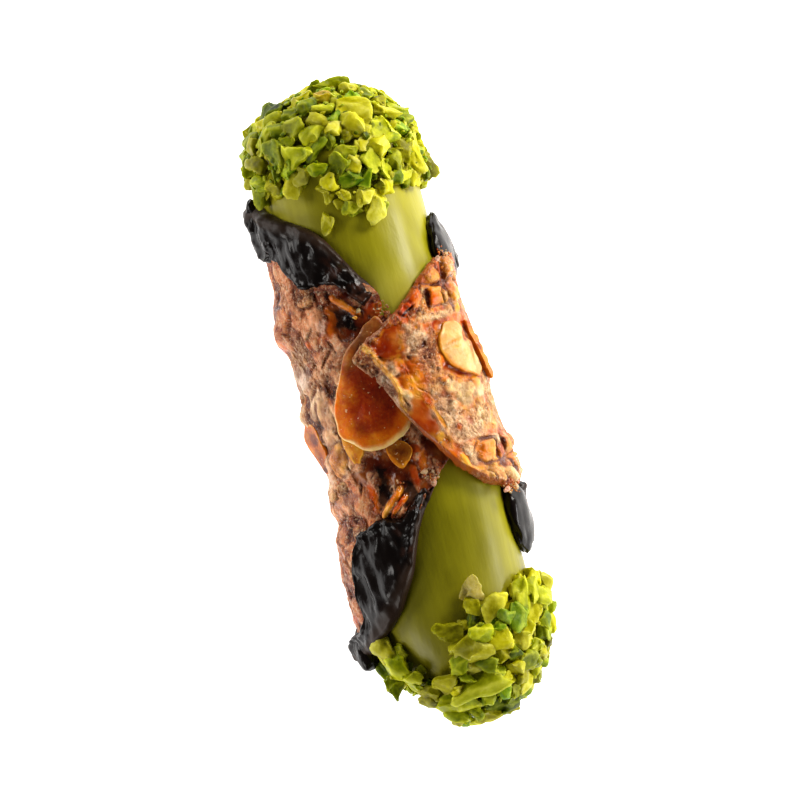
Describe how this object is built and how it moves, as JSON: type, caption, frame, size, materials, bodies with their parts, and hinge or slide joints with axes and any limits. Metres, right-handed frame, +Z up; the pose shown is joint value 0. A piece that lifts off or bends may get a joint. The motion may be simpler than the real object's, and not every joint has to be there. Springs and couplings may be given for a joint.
{
  "type": "filled cannoli",
  "caption": "Brittle almond pastry sheet rolled into a tube round a smooth nut cream, with chocolate-dipped mouths and chopped pistachios heaped on both cream ends.",
  "frame": {"origin": "on the table, under the middle of the roll", "axes": "+Y along the roll towards the end whose nuts are heaped densest, +X towards the upper flap's side of the roll, +Z up from the table through the overlapping flaps"},
  "size_m": [0.0424, 0.1315, 0.0392],
  "materials": {
    "pastry": "satin",
    "cream": "satin",
    "chocolate": "gloss",
    "pistachio": "satin",
    "almond": "satin"
  },
  "bodies": {
    "root": {"pastry_tube": "pastry", "cream": "cream", "chocolate_rim_head": "chocolate", "chocolate_rim_foot": "chocolate", "chopped_nuts_head": "pistachio", "chopped_nuts_foot": "pistachio", "almond_slice_seam": "almond", "almond_slice_below": "almond", "almond_slice_flap": "almond", "almond_slice_side": "almond"}
  },
  "joints": []
}
